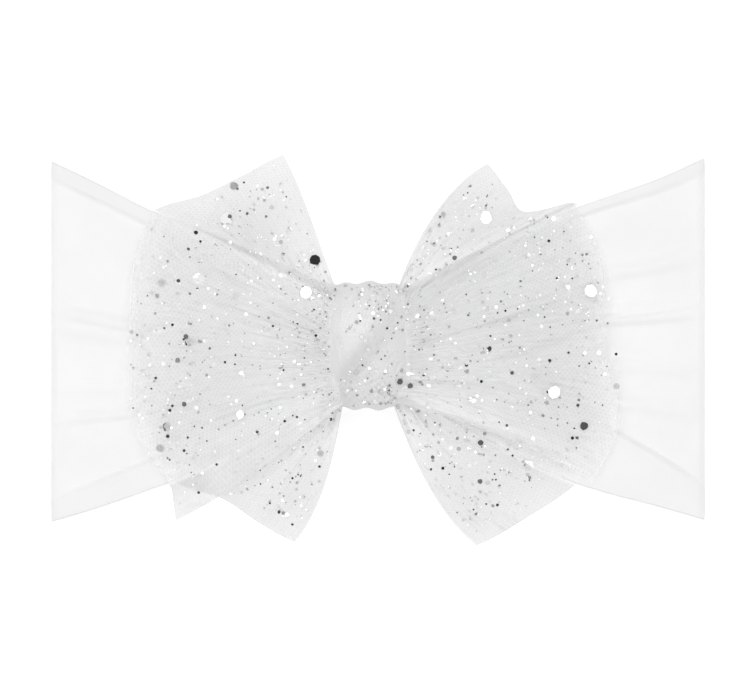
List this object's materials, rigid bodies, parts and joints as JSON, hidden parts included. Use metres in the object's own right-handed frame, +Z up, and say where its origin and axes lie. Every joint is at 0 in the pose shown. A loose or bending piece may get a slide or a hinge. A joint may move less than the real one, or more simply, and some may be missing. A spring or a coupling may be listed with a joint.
{
  "type": "baby headband with a tulle bow",
  "caption": "Wide stretch nylon baby headband lying flat, gathered at the front into a tied bow of silver-flecked tulle.",
  "frame": {"origin": "middle of the headband on the surface that it lies on, under the bow", "axes": "+X from the left side fold to the right one, +Y towards the crown of the head when worn, +Z up from the surface, out of the bow's face"},
  "size_m": [0.162, 0.0962, 0.0193],
  "materials": {
    "nylon_jersey": "white stretch nylon jersey, fine knit, matte",
    "glitter_tulle": "white net tulle flecked with bonded silver foil",
    "silver_foil": "bright silver foil flakes bonded to the net"
  },
  "bodies": {
    "root": {"nylon_band": "nylon_jersey", "left_front_tail": "glitter_tulle", "left_back_tail": "glitter_tulle", "right_front_tail": "glitter_tulle", "right_back_tail": "glitter_tulle", "knot": "glitter_tulle"}
  },
  "joints": []
}
